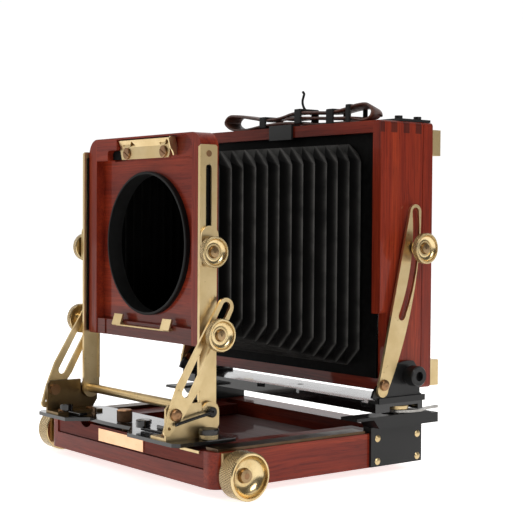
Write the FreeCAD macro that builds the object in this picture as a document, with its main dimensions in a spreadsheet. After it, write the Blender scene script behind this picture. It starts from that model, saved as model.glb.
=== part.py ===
import FreeCAD, Part
import os
from math import acos, asin, cos, pi, radians, sin, tan

import Sketcher

# A folding wooden 4x5 view camera, opened on its bed.
# Frame: +X to the right, +Y from the lens to the focusing screen, +Z up. The origin is the mouth of the
# tripod socket in the middle of the bed's underside. Lengths are millimetres.
# "back(d)" is the place d behind the bed's front face.

SIZES = {
    # bed and its running slide
    "bed_width": 167.0,
    "bed_length": 143.5,
    "bed_height": 18.8,
    "bed_floor": 9.2,
    "bed_wall": 9.2,
    "bed_corner": 6.0,
    "rail_thick": 1.6,
    "rail_lap": 2.0,
    "rear_rail": 17.0,
    "slide_play": 0.4,
    "slide_length": 118.0,
    "slide_top": 18.3,
    "hollow_front": 28.0,
    "hollow_floor": 11.9,
    "hollow_half_width": 54.0,
    "notch_radius": 7.5,
    "notch_middle": -43.3,
    "notch_height": 23.2,
    "tripod_radius": 4.0,
    "bush_radius": 7.5,
    # focusing drive
    "shaft_back": 12.0,
    "shaft_height": 7.8,
    "shaft_radius": 1.5,
    "running_gap": 0.05,
    "gear_module": 0.7,
    "gear_middle": 60.0,
    "gear_width": 5.0,
    "knob_radius": 12.3,
    "knob_inner_face": 86.2,
    "knob_outer_face": 98.0,
    "escutcheon_thick": 1.9,
    # front swing plate and brackets
    "plate_bottom": 21.2,
    "plate_top": 23.2,
    "plate_half_width": 72.0,
    "swing_back": 12.3,
    "bracket_inner": 60.5,
    "bracket_thick": 1.5,
    "bracket_top": 41.5,
    "strut_inner": 62.5,
    "strut_thick": 1.5,
    "strut_foot_back": -10.0,
    "strut_foot_height": 36.5,
    # uprights
    "upright_middle": 13.2,
    "upright_depth": 10.8,
    "upright_face": 59.3,
    "upright_web": 1.4,
    "upright_lip": 1.9,
    "upright_bottom": 29.5,
    "upright_top": 174.3,
    "tilt_height": 36.0,
    "tube_radius": 2.5,
    "strut_knob_height": 76.3,
    "rise_knob_height": 118.8,
    "rise_slot_low": 114.0,
    "rise_slot_high": 162.2,
    # lens frame
    "lens_width": 112.4,
    "lens_front": 10.4,
    "lens_depth": 11.1,
    "lens_bottom": 69.3,
    "lens_top": 181.2,
    "lens_corner": 8.5,
    "board_width": 96.0,
    "board_bottom": 78.0,
    "board_top": 168.7,
    "board_depth": 5.1,
    "hole_radius": 39.6,
    "ring_radius": 38.2,
    "hole_height": 122.1,
    # rear swing parts
    "rear_pivot_back": 125.5,
    "rear_pivot_height": 50.5,
    "rear_strut_back": 105.6,
    "rear_strut_height": 46.5,
    "swing_plate_bottom": 31.0,
    "swing_plate_top": 36.0,
    "rear_ear_inner": 90.6,
    "rear_ear_thick": 1.6,
    "rear_strut_inner": 92.6,
    # rear box and back
    "box_width": 180.0,
    "box_front": 105.7,
    "box_back": 137.3,
    "box_bottom": 42.2,
    "box_top": 190.2,
    "box_wall": 6.5,
    "frame_back": 145.0,
    "window_half_width": 62.5,
    "window_half_height": 50.5,
    "screen_depth": 5.4,
    "lock_back": 128.4,
    "lock_height": 120.5,
    # bellows
    "bellows_front": 22.0,
    "bellows_back": 110.0,
    "bellows_folds": 13.0,
    "bellows_wall": 1.2,
}

doc = FreeCAD.newDocument("view_camera")
sheet = doc.addObject("Spreadsheet::Sheet", "Sizes")
for row, (alias, number) in enumerate(SIZES.items(), start=1):
    sheet.set("A%d" % row, alias.replace("_", " "))
    sheet.set("B%d" % row, str(number))
    sheet.setAlias("B%d" % row, alias)
doc.recompute()


# --- sizes that know their own expression -------------------------------------------------------------

class Size:
    """A number together with the sheet expression that gives it."""

    def __init__(self, value, text):
        self.value = float(value)
        self.text = text

    def __add__(self, other):
        return combine(self, "+", other)

    def __radd__(self, other):
        return combine(other, "+", self)

    def __sub__(self, other):
        return combine(self, "-", other)

    def __rsub__(self, other):
        return combine(other, "-", self)

    def __mul__(self, other):
        return combine(self, "*", other)

    def __rmul__(self, other):
        return combine(other, "*", self)

    def __truediv__(self, other):
        return combine(self, "/", other)

    def __neg__(self):
        return combine(0, "-", self)


def sized(thing):
    """A Size made from a Size or a plain number."""
    if isinstance(thing, Size):
        return thing
    return Size(thing, "%.6g" % thing)


def combine(left, sign, right):
    a = sized(left)
    b = sized(right)
    values = {
        "+": a.value + b.value,
        "-": a.value - b.value,
        "*": a.value * b.value,
        "/": a.value / b.value if b.value else 0.0,
    }
    return Size(values[sign], "(%s %s %s)" % (a.text, sign, b.text))


def of(alias):
    return Size(SIZES[alias], "Sizes." + alias)


def back(distance):
    """The Y of a place that is this far behind the bed's front face."""
    return distance - of("bed_length") / 2


# --- drawing helpers ----------------------------------------------------------------------------------

PLANES = {"x": "YZ_Plane", "y": "XZ_Plane", "z": "XY_Plane"}
TURN_TO = {
    "x": FreeCAD.Rotation(FreeCAD.Vector(0, 1, 0), 90),
    "y": FreeCAD.Rotation(FreeCAD.Vector(1, 0, 0), -90),
    "z": FreeCAD.Rotation(),
}
kept = {}


def bind(thing, path, amount):
    thing.setExpression(path, sized(amount).text)


def place(thing, x=0, y=0, z=0):
    for letter, amount in zip("xyz", (x, y, z)):
        bind(thing, "Placement.Base." + letter, amount)


def keep(label, thing):
    """Marks an object as a sub-part: its label is the node's name."""
    thing.Label = label
    kept[label] = thing
    return thing


def block(x, y, z):
    """A box between two X, two Y and two Z values."""
    solid = doc.addObject("Part::Box", "block")
    bind(solid, "Length", sized(x[1]) - x[0])
    bind(solid, "Width", sized(y[1]) - y[0])
    bind(solid, "Height", sized(z[1]) - z[0])
    place(solid, x[0], y[0], z[0])
    return solid


def rod(axis, span, centre, radius):
    """A cylinder along an axis, between two values on it; centre gives the other two coordinates."""
    solid = doc.addObject("Part::Cylinder", "rod")
    solid.Placement = FreeCAD.Placement(FreeCAD.Vector(), TURN_TO[axis])
    bind(solid, "Radius", radius)
    bind(solid, "Height", sized(span[1]) - span[0])
    coordinates = list(centre)
    coordinates.insert("xyz".index(axis), span[0])
    place(solid, *coordinates)
    return solid


def fused(items):
    solid = doc.addObject("Part::MultiFuse", "fused")
    solid.Shapes = items
    return solid


def less(base, tools):
    """The base with one tool, or several together, cut away."""
    solid = doc.addObject("Part::Cut", "cut")
    solid.Base = base
    solid.Tool = tools[0] if len(tools) == 1 else fused(tools)
    return solid


def group(items):
    """Separate solids kept as one object."""
    bundle = doc.addObject("Part::Compound", "group")
    bundle.Links = items
    return bundle


def mirrored(source):
    """The same piece on the camera's other side."""
    image = doc.addObject("Part::Mirroring", "mirrored")
    image.Source = source
    image.Normal = (1, 0, 0)
    return image


def both(source):
    return group([source, mirrored(source)])


def sketch_on(body, facing, level):
    """An empty sketch on one of the body's origin planes, moved to a level along its axis."""
    sketch = body.newObject("Sketcher::SketchObject", "sketch")
    plane = [f for f in body.Origin.OriginFeatures if f.Role == PLANES[facing]][0]
    sketch.AttachmentSupport = [(plane, "")]
    sketch.MapMode = "FlatFace"
    # the XZ plane looks along -Y, so its offset is turned round
    bind(sketch, "AttachmentOffset.Base.z", -sized(level) if facing == "y" else level)
    return sketch


def draw_loop(sketch, corners):
    """A closed loop. A corner is (u, v), or (u, v, bow) when an arc of that height follows it.

    A positive bow bulges to the right of the way the loop runs."""
    points = [FreeCAD.Vector(sized(c[0]).value, sized(c[1]).value, 0) for c in corners]
    first = sketch.GeometryCount
    ends = []
    for index, corner in enumerate(corners):
        start = points[index]
        stop = points[(index + 1) % len(points)]
        bow = sized(corner[2]).value if len(corner) > 2 else 0.0
        if not bow:
            sketch.addGeometry(Part.LineSegment(start, stop), False)
            ends.append((1, 2))
            continue
        along = stop - start
        side = FreeCAD.Vector(along.y, -along.x, 0).normalize()
        middle = (start + stop) * 0.5 + side * bow
        if bow > 0:
            sketch.addGeometry(Part.Arc(start, middle, stop), False)
            ends.append((1, 2))
        else:
            sketch.addGeometry(Part.Arc(stop, middle, start), False)
            ends.append((2, 1))
    total = len(corners)
    for index, corner in enumerate(corners):
        following = (index + 1) % total
        joint = (first + index, ends[index][1], first + following, ends[following][0])
        sketch.addConstraint(Sketcher.Constraint("Coincident", *joint))
        for kind, amount in (("DistanceX", corner[0]), ("DistanceY", corner[1])):
            amount = sized(amount)
            rule = Sketcher.Constraint(kind, -1, 1, first + index, ends[index][0], amount.value)
            number = sketch.addConstraint(rule)
            sketch.setExpression("Constraints[%d]" % number, amount.text)


def draw_circle(sketch, u, v, radius):
    circle = Part.Circle(FreeCAD.Vector(u.value, v.value, 0), FreeCAD.Vector(0, 0, 1), radius.value)
    index = sketch.addGeometry(circle, False)
    rules = (
        (Sketcher.Constraint("DistanceX", -1, 1, index, 3, u.value), u),
        (Sketcher.Constraint("DistanceY", -1, 1, index, 3, v.value), v),
        (Sketcher.Constraint("Radius", index, radius.value), radius),
    )
    for rule, amount in rules:
        number = sketch.addConstraint(rule)
        sketch.setExpression("Constraints[%d]" % number, amount.text)


def draw(sketch, shapes):
    """Draws loops, given as lists of corners, and circles, given as a tuple (u, v, radius)."""
    for shape in shapes:
        if isinstance(shape, tuple):
            draw_circle(sketch, *[sized(part) for part in shape])
        else:
            draw_loop(sketch, shape)


def box_loop(u, v):
    return [(u[0], v[0]), (u[1], v[0]), (u[1], v[1]), (u[0], v[1])]


def slot_loop(u, v, half):
    """An upright slot centred on u, between the two end centres v."""
    return [(u - half, v[1]), (u - half, v[0], half), (u + half, v[0]), (u + half, v[1], half)]


def plate(facing, span, shapes):
    """A Body with one pad: the shapes drawn across an axis and given thickness along it."""
    body = doc.addObject("PartDesign::Body", "body")
    low, high = sized(span[0]), sized(span[1])
    sketch = sketch_on(body, facing, high if facing == "y" else low)
    draw(sketch, shapes)
    pad = body.newObject("PartDesign::Pad", "pad")
    pad.Profile = sketch
    bind(pad, "Length", high - low)
    doc.recompute()
    return body


def carve(body, facing, span, shapes):
    """Pockets the shapes out of a body between two values along an axis."""
    before = body.Shape.Volume
    low, high = sized(span[0]), sized(span[1])
    sketch = sketch_on(body, facing, low if facing == "y" else high)
    draw(sketch, shapes)
    pocket = body.newObject("PartDesign::Pocket", "pocket")
    pocket.Profile = sketch
    bind(pocket, "Length", high - low)
    doc.recompute()
    if not body.Shape.Volume < before - 0.01:
        raise RuntimeError("a pocket in %s cuts nothing" % body.Label)
    return body


def add(body, facing, span, shapes):
    """Pads more material onto a body between two values along an axis."""
    low, high = sized(span[0]), sized(span[1])
    sketch = sketch_on(body, facing, high if facing == "y" else low)
    draw(sketch, shapes)
    pad = body.newObject("PartDesign::Pad", "pad")
    pad.Profile = sketch
    bind(pad, "Length", high - low)
    doc.recompute()
    return body


def round_edges(body, radius, wanted):
    """Fillets every edge that wanted(middle point, direction) accepts."""
    names = []
    for number, edge in enumerate(body.Shape.Edges, start=1):
        if edge.Curve.TypeId != "Part::GeomLine":
            continue
        middle = edge.valueAt((edge.FirstParameter + edge.LastParameter) / 2)
        if wanted(middle, edge.Curve.Direction):
            names.append("Edge%d" % number)
    base = body.Tip
    fillet = body.newObject("PartDesign::Fillet", "fillet")
    fillet.Base = (base, names)
    bind(fillet, "Radius", radius)
    body.Tip = fillet
    doc.recompute()
    if "Invalid" in fillet.State:
        raise RuntimeError("a fillet of %s fails: %s" % (radius, names))
    return body


def turned(axis, at, profile):
    """A Body turned about an axis through a point. The profile's corners are (along, radius)."""
    body = doc.addObject("PartDesign::Body", "body")
    sketch = sketch_on(body, "y" if axis == "z" else "z", 0)
    if axis != "x":
        profile = [(c[1], c[0]) + tuple(-bow for bow in c[2:]) for c in profile]
    draw(sketch, [profile])
    spin = body.newObject("PartDesign::Revolution", "revolution")
    spin.Profile = sketch
    spin.ReferenceAxis = (sketch, ["H_Axis" if axis == "x" else "V_Axis"])
    spin.Angle = 360
    place(body, *at)
    doc.recompute()
    return body


def built(shape):
    """A Part::Feature for a shape worked out in code."""
    feature = doc.addObject("Part::Feature", "built")
    feature.Shape = shape
    return feature


def is_upright(direction):
    return abs(direction.z) > 0.99


# --- the bed ------------------------------------------------------------------------------------------

half_bed = of("bed_width") / 2
bed_inside = half_bed - of("bed_wall")
bed_end = of("bed_length") / 2
shaft_y = back(of("shaft_back"))
shaft_z = of("shaft_height")
shaft_bore = of("shaft_radius") + of("running_gap")
PINION_WELL = 6.2


def make_bed():
    """The wooden tray, its brass strips and the black plates that carry the rear standard."""
    outline = box_loop((-half_bed, half_bed), (-bed_end, bed_end))
    tray = plate("z", (0, of("bed_height")), [outline])
    outer = half_bed.value
    front = -bed_end.value
    round_edges(tray, of("bed_corner"), lambda middle, way: is_upright(way)
                and abs(abs(middle.x) - outer) < 0.1 and middle.y < front + 1)
    round_edges(tray, 1.0, lambda middle, way: is_upright(way)
                and abs(abs(middle.x) - outer) < 0.1 and middle.y > -front - 1)
    carve(tray, "z", (of("bed_floor"), of("bed_height")),
          [box_loop((-bed_inside, bed_inside), (-bed_end - 1, bed_end - of("rear_rail")))])
    well = (shaft_y - PINION_WELL, shaft_y + PINION_WELL)
    carve(tray, "z", (1.8, of("bed_floor")), [box_loop((-bed_inside, bed_inside), well)])
    carve(tray, "x", (-half_bed - 1, half_bed + 1), [(shaft_y, shaft_z, shaft_bore + 0.3)])
    carve(tray, "z", (-1, of("bed_floor") + 1), [(0, 0, of("bush_radius"))])
    keep("bed_frame", tray)

    bore = (0, of("tripod_radius"))
    rim = (0, of("bush_radius"))
    keep("tripod_bush", turned("z", (0, 0, 0), [
        bore, rim, (of("bed_floor"), of("bush_radius")), (of("bed_floor"), of("tripod_radius"))]))

    rail_inner = bed_inside - of("rail_lap")
    rail = block((rail_inner, half_bed - 0.8), (back(3.0), back(102.5)),
                 (of("bed_height"), of("bed_height") + of("rail_thick")))
    keep("bed_rails", both(rail))

    plate_outer = half_bed + 1.6
    side = plate("x", (half_bed, plate_outer), [box_loop((back(104.9), back(143.4)), (0.3, 22.0))])
    screw_places = [(back(y), z) for y in (109.9, 140.2) for z in (3.2, 15.8)]
    carve(side, "x", (half_bed - 1, plate_outer + 1), [(y, z, sized(1.2)) for y, z in screw_places])
    keep("side_plates", both(side))
    screws = [turned("x", (half_bed, y, z), [(0, 0), (0, 1.2), (1.6, 1.2), (1.6, 2.0, -0.25), (2.3, 0)])
              for y, z in screw_places]
    keep("side_plate_screws", both(group(screws)))

    escutcheon = plate("x", (half_bed, half_bed + of("escutcheon_thick")), [[
        (shaft_y - 7.8, 1.5), (shaft_y + 7.8, 1.5), (shaft_y + 7.8, 18.5), (shaft_y - 7.8, 18.5)]])
    carve(escutcheon, "x", (half_bed - 1, half_bed + 5), [(shaft_y, shaft_z, shaft_bore)])
    keep("knob_escutcheons", both(escutcheon))


def make_rear_bases():
    """Black castings on the bed's walls: a flat top with a slot for the swing wheel's stud."""
    inner, outer = 78.5, 91.5
    wheel_x, wheel_y = WHEEL
    # side outline: a tongue in front, a dropped tail behind, a foot between them
    profile = [
        (back(104.9), 22.4), (back(144.5), 22.4), (back(150.0), 22.4), (back(150.0), 27.9),
        (back(145.0), 27.9), (back(143.0), 29.0), (back(88.5), 29.0), (back(88.5), 27.4),
        (back(101.0), 27.4)]
    base = plate("x", (inner, outer), [profile])
    add(base, "x", (inner, half_bed - 0.5), [box_loop((back(105.0), back(142.0)), (of("bed_height"), 22.5))])
    slot = [(wheel_x - 2.9, wheel_y + 8.5), (wheel_x - 2.9, wheel_y - 8.5, 2.9),
            (wheel_x + 2.9, wheel_y - 8.5), (wheel_x + 2.9, wheel_y + 8.5, 2.9)]
    carve(base, "z", (23.4, 30.0), [slot])
    keep("rear_bases", both(base))


# --- the focusing drive -------------------------------------------------------------------------------

PINION_TEETH = 14
PRESSURE = radians(20.0)
ADDENDUM = 0.8
BACKLASH = 0.12


def pinion_face():
    """The pinion's outline across its axis, with a tooth space pointing up."""
    module = SIZES["gear_module"]
    pitch_radius = module * PINION_TEETH / 2
    base_radius = pitch_radius * cos(PRESSURE)
    tip_radius = pitch_radius + ADDENDUM * module
    root_radius = pitch_radius - ADDENDUM * module - 0.2
    half_tooth = (pi * module / 2 - BACKLASH) / (2 * pitch_radius)
    involute = tan(PRESSURE) - PRESSURE
    steps = 5
    flank = [(root_radius, half_tooth + involute)]
    for step in range(steps + 1):
        radius = base_radius + (tip_radius - base_radius) * step / steps
        slope = acos(base_radius / radius)
        flank.append((radius, half_tooth + involute - (tan(slope) - slope)))
    points = []
    for tooth in range(PINION_TEETH):
        middle = 2 * pi * (tooth + 0.5) / PINION_TEETH
        sides = [(r, middle - half) for r, half in flank] + [(r, middle + half) for r, half in flank[::-1]]
        points += [FreeCAD.Vector(0, r * sin(angle), r * cos(angle)) for r, angle in sides]
    return Part.Face(Part.makePolygon(points + points[:1]))


def rack_face(start, stop, middle, pitch_line, top):
    """The rack's outline along Y, with a tooth centred on the pinion."""
    module = SIZES["gear_module"]
    step = pi * module
    reach = ADDENDUM * module
    root = pitch_line + reach + 0.2
    tip = pitch_line - reach
    half_pitch = (step / 2 - BACKLASH) / 2
    half_tip = half_pitch - reach * tan(PRESSURE)
    half_root = half_pitch + (reach + 0.2) * tan(PRESSURE)
    points = [FreeCAD.Vector(0, start, top), FreeCAD.Vector(0, start, root)]
    first = int((middle - start) / step - 0.5)
    last = int((stop - middle) / step - 0.5)
    for tooth in range(-first, last + 1):
        centre = middle + tooth * step
        corners = ((-half_root, root), (-half_tip, tip), (half_tip, tip), (half_root, root))
        points += [FreeCAD.Vector(0, centre + y, z) for y, z in corners]
    points += [FreeCAD.Vector(0, stop, root), FreeCAD.Vector(0, stop, top)]
    return Part.Face(Part.makePolygon(points + points[:1]))


def make_focus_drive():
    """The shaft with its two pinions, and a cupped knob on each end."""
    gear_middle = SIZES["gear_middle"]
    gear_width = SIZES["gear_width"]
    centre = FreeCAD.Vector(0, shaft_y.value, shaft_z.value)
    reach = SIZES["knob_outer_face"] - 3.2
    along = FreeCAD.Vector(1, 0, 0)
    shape = Part.makeCylinder(SIZES["shaft_radius"], 2 * reach, centre - along * reach, along)
    for side in (-1, 1):
        gear = pinion_face()
        gear.translate(centre + along * (side * gear_middle - gear_width / 2))
        shape = shape.fuse(gear.extrude(along * gear_width))
    keep("pinion_shaft", built(shape))

    inner = of("knob_inner_face")
    outer = of("knob_outer_face")
    rim = of("knob_radius")
    profile = [
        (inner, shaft_bore), (inner, 7.0), (inner + 1.2, 7.0), (inner + 1.2, rim - 0.6),
        (inner + 1.8, rim), (outer - 0.7, rim), (outer, rim - 0.7), (outer, rim - 1.5, 1.4),
        (outer - 5.6, 5.6), (outer - 5.6, 4.0), (outer - 3.4, 3.4), (outer - 3.2, shaft_bore)]
    right = turned("x", (0, shaft_y, shaft_z), profile)
    keep("focus_knob_right", right)
    keep("focus_knob_left", mirrored(right))


# --- the slide ----------------------------------------------------------------------------------------

def make_slide():
    """The wooden slide with its racks, blank plate and the post that the front plate turns on."""
    edge = bed_inside - of("slide_play")
    bottom = of("bed_floor") + of("slide_play")
    top = of("slide_top")
    front = back(0.7)
    rear = back(of("slide_length"))
    board = plate("z", (bottom, top), [box_loop((-edge, edge), (front, rear))])
    # behind the front plate it is hollowed out to a thin floor, open at the rear
    hollow = of("hollow_half_width")
    carve(board, "z", (of("hollow_floor"), top + 1), [
        box_loop((-hollow, hollow), (back(of("hollow_front")), rear + 1))])
    groove_half = of("gear_width") / 2 + 0.8
    rack_top = 15.6
    grooves = [box_loop((side * of("gear_middle") - groove_half, side * of("gear_middle") + groove_half),
                        (shaft_y - PINION_WELL, rear - 3.0)) for side in (-1, 1)]
    carve(board, "z", (bottom - 1, rack_top), grooves)
    notch = of("notch_middle")
    carve(board, "y", (front - 1, front + 5.0), [(notch, of("notch_height"), of("notch_radius"))])
    carve(board, "z", (top - 5.0, top + 1), [
        (0, swing_y, sized(4.5)), (LOCK_KNOB[0], back(LOCK_KNOB[1]), sized(LOCK_SHANK + 0.05))])
    keep("slide_plate", board)

    gear_middle = SIZES["gear_middle"]
    gear_width = SIZES["gear_width"]
    pitch_line = SIZES["shaft_height"] + SIZES["gear_module"] * PINION_TEETH / 2
    racks = []
    for side in (-1, 1):
        face = rack_face(back(6.6).value, rear.value - 3.3, shaft_y.value, pitch_line, rack_top)
        face.translate(FreeCAD.Vector(side * gear_middle - gear_width / 2 - 0.5, 0, 0))
        racks.append(built(face.extrude(FreeCAD.Vector(gear_width + 1.0, 0, 0))))
    keep("gear_racks", group(racks))

    keep("name_plate", block((-28.0, 18.0), (back(0.1), front), (bottom + 0.5, top - 1.2)))


# --- the front plate and its brackets -------------------------------------------------------------------

# places of the lock knobs: X, and how far behind the bed's front face
LOCK_KNOB = (-5.4, 3.2)
LOCK_SHANK = 1.5
SIDE_KNOB = (67.6, 8.0)
swing_y = back(of("swing_back"))
plate_low = of("plate_bottom")
plate_high = of("plate_top")


def make_front_plate():
    """The black plate that swings on the slide, its post and its two lock knobs."""
    pin = 3.0
    keep("pivot_post", turned("z", (0, swing_y, 0), [
        (of("slide_top") - 5.0, 0), (of("slide_top") - 5.0, 4.5), (of("slide_top"), 4.5),
        (of("slide_top"), 6.6), (plate_low - 0.1, 6.6), (plate_low - 0.1, pin), (plate_high + 0.2, pin),
        (plate_high + 0.2, 4.4), (plate_high + 0.9, 4.4), (plate_high + 1.2, 4.0), (plate_high + 1.2, 0)]))

    wide = of("plate_half_width")
    outline = [
        (-wide, back(-12.5)), (-wide + 3.5, back(-15.6)), (-38.5, back(-15.6)), (-31.0, back(-3.6), 1.0),
        (10.5, back(-2.8)), (27.0, back(-15.6)), (wide - 3.5, back(-15.6)), (wide, back(-12.5)),
        (wide, back(22.0)), (wide - 5.0, back(27.0)), (-wide + 5.0, back(27.0)), (-wide, back(22.0))]
    sheet_metal = plate("z", (plate_low, plate_high), [outline])
    holes = [
        (0, swing_y, pin + of("running_gap")), (LOCK_KNOB[0], back(LOCK_KNOB[1]), sized(3.0)),
        (SIDE_KNOB[0], back(SIDE_KNOB[1]), sized(1.65))]
    carve(sheet_metal, "z", (plate_low - 1, plate_high + 1), holes)
    keep("front_swing_plate", sheet_metal)

    knob_profile = [
        (of("slide_top") - 4.0, 0), (of("slide_top") - 4.0, LOCK_SHANK), (plate_high + 0.3, LOCK_SHANK),
        (plate_high + 0.3, 4.3), (29.6, 4.3), (30.2, 3.7), (30.2, 0)]
    keep("front_lock_knob", turned("z", (LOCK_KNOB[0], back(LOCK_KNOB[1]), 0), knob_profile))
    side_profile = [
        (plate_low, 0), (plate_low, 1.6), (plate_high + 0.3, 1.6), (plate_high + 0.3, 4.8),
        (26.2, 4.8), (26.2, 5.3), (28.0, 5.3), (28.6, 4.6), (28.6, 0)]
    keep("side_lock_knob", turned("z", (SIDE_KNOB[0], back(SIDE_KNOB[1]), 0), side_profile))


tilt_y = back(of("upright_middle"))
tilt_z = of("tilt_height")
foot_y = back(of("strut_foot_back"))
foot_z = of("strut_foot_height")


def make_front_brackets():
    """Bent brass brackets: an upright ear and a foot turned inwards, with screws and black caps."""
    inner = of("bracket_inner")
    outer = inner + of("bracket_thick")
    ear = plate("x", (inner, outer), [[
        (back(-14.6), plate_high), (back(14.8), plate_high), (tilt_y + 5.4, 29.0),
        (tilt_y + 5.4, 36.0, 5.4), (tilt_y - 5.4, 36.0), (back(7.4), of("bracket_top")),
        (back(-12.8), of("bracket_top")), (back(-14.6), 39.7)]])
    add(ear, "z", (plate_high, plate_high + 1.5), [box_loop((48.0, inner + 0.2), (back(-14.6), back(14.8)))])
    pin_bore = 2.0 + of("running_gap")
    carve(ear, "x", (inner - 1, outer + 1), [(tilt_y, tilt_z, pin_bore), (foot_y, foot_z, pin_bore)])
    keep("front_brackets", both(ear))

    pivot = turned("x", (0, foot_y, foot_z), [
        (inner - 1.4, 0), (inner - 1.4, 3.2), (inner, 3.2), (inner, 2.0), (of("strut_inner") + 1.8, 2.0),
        (of("strut_inner") + 1.8, 3.3), (of("strut_inner") + 3.0, 3.0, -0.3), (of("strut_inner") + 3.4, 0)])
    feet = [turned("z", (53.5, back(y), 0), [
        (plate_high + 1.5, 0), (plate_high + 1.5, 2.4), (plate_high + 2.2, 2.4), (plate_high + 2.7, 1.6),
        (plate_high + 2.7, 0)])
        for y in (-9.0, 9.5)]
    keep("bracket_screws", both(group([pivot] + feet)))

    cap = turned("x", (0, tilt_y, tilt_z), [
        (outer, 0), (outer, 2.8), (outer + 1.8, 2.8), (outer + 2.4, 2.2), (outer + 2.4, 0)])
    keep("tilt_caps", both(cap))


def make_front_struts():
    """Slotted brass struts: from a pivot on the bracket up to the stud on the upright."""
    run_y = tilt_y.value - foot_y.value
    run_z = SIZES["strut_knob_height"] - foot_z.value
    length = (run_y ** 2 + run_z ** 2) ** 0.5
    way = FreeCAD.Vector(run_y / length, run_z / length, 0)
    across = FreeCAD.Vector(way.y, -way.x, 0)

    def at(distance, side):
        spot = way * distance + across * side
        return (foot_y.value + spot.x, foot_z.value + spot.y)

    def corner(distance, side, *bow):
        return at(distance, side) + bow

    slot_half = 2.45
    outline = [
        corner(-9.5, 2.2), corner(0.0, 4.6), corner(14.0, 6.4), corner(62.0, 4.9, 4.9),
        corner(62.0, -4.9), corner(14.0, -6.4), corner(0.0, -4.6), corner(-9.5, -2.2, 2.2)]
    slot = [corner(12.5, -slot_half, slot_half), corner(12.5, slot_half),
            corner(62.5, slot_half, slot_half), corner(62.5, -slot_half)]
    strut = plate("x", (of("strut_inner"), of("strut_inner") + of("strut_thick")), [outline])
    through = (of("strut_inner") - 1, of("strut_inner") + of("strut_thick") + 1)
    carve(strut, "x", through, [slot])
    carve(strut, "x", through, [(foot_y, foot_z, 2.0 + of("running_gap"))])
    tail = at(-7.6, 0.0)
    carve(strut, "x", through, [(tail[0], tail[1], sized(0.9))])
    keep("front_struts", both(strut))


# --- uprights and the lens frame ------------------------------------------------------------------------

def make_uprights():
    """Brass channels on each side of the lens frame, joined by a tube that they tilt about."""
    face = of("upright_face")
    web = face - of("upright_web")
    lip_inner = face - of("upright_lip")
    near = tilt_y - of("upright_depth") / 2
    far = tilt_y + of("upright_depth") / 2
    low = of("upright_bottom")
    high = of("upright_top")
    half = of("upright_depth") / 2
    channel = plate("x", (web, face), [[(near, tilt_z), (near, high - 1.0), (near + 1.0, high),
                                        (far - 1.0, high), (far, high - 1.0), (far, tilt_z, -half)]])
    for lip in ((near, near + 1.2), (far - 1.2, far)):
        add(channel, "x", (lip_inner, web + 0.1), [box_loop(lip, (tilt_z + 6.0, high - 1.0))])
    through = (web - 1, face + 1)
    carve(channel, "x", through, [slot_loop(tilt_y, (of("rise_slot_low"), of("rise_slot_high")), sized(1.8))])
    carve(channel, "x", through, [(tilt_y, of("strut_knob_height"), 2.0 + of("running_gap")),
                                  (tilt_y, tilt_z, sized(2.0))])
    keep("upright_right", channel)
    keep("upright_left", mirrored(channel))
    tube = turned("x", (0, tilt_y, tilt_z), [
        (0, 0), (0, of("tube_radius")), (web, of("tube_radius")), (web, 2.0), (61.7, 2.0), (61.7, 0)])
    keep("cross_tube", fused([tube, mirrored(tube)]))


def small_knob(inner, outer, height, shank_end, shank, head, stem):
    """A cupped lock knob on the right side, with the shank that goes through the parts it clamps."""
    rim = outer - 3.6
    profile = [
        (shank_end, 0), (shank_end, shank), (inner, shank), (inner, stem), (rim, stem), (rim, head - 0.5),
        (rim + 0.5, head), (outer - 0.4, head), (outer, head - 0.4), (outer, head - 1.2, 0.9),
        (outer - 2.2, 4.2), (outer - 2.2, 3.2), (outer - 0.9, 2.6), (outer - 0.7, 0)]
    return turned("x", (0,) + height, profile)


RISE_STUD = 1.5


def make_front_knobs():
    strut_knob = small_knob(65.4, 72.2, (tilt_y, of("strut_knob_height")), 57.0, 2.0, 8.6, 4.2)
    keep("strut_knob_right", strut_knob)
    keep("strut_knob_left", mirrored(strut_knob))
    rise_knob = small_knob(61.0, 66.0, (tilt_y, of("rise_knob_height")), 50.0, RISE_STUD, 8.2, 4.0)
    keep("rise_knob_right", rise_knob)
    keep("rise_knob_left", mirrored(rise_knob))
    clamp_low = of("rise_knob_height") - 7.0
    half = 5.4
    clamp = plate("x", (59.6, 60.7), [[
        (tilt_y + half, clamp_low), (tilt_y + half, of("rise_knob_height") + 8.2, half),
        (tilt_y - half, of("rise_knob_height") + 8.2), (tilt_y - half, clamp_low)]])
    carve(clamp, "x", (59, 61), [(tilt_y, of("rise_knob_height"), sized(RISE_STUD + 0.05))])
    keep("pressure_plates", both(clamp))


lens_y = back(of("lens_front"))
lens_rear = lens_y + of("lens_depth")
half_lens = of("lens_width") / 2
board_floor = lens_y + of("board_depth")
# the latch lies this far in front of the board's floor, over the edge of a board that thick
BOARD_EDGE = 1.6
latch_seat = board_floor - BOARD_EDGE
LATCH_TRAVEL = 1.5
LATCH_SCREW = (18.4, 172.2)
RAIL_STEP = 1.2


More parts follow.
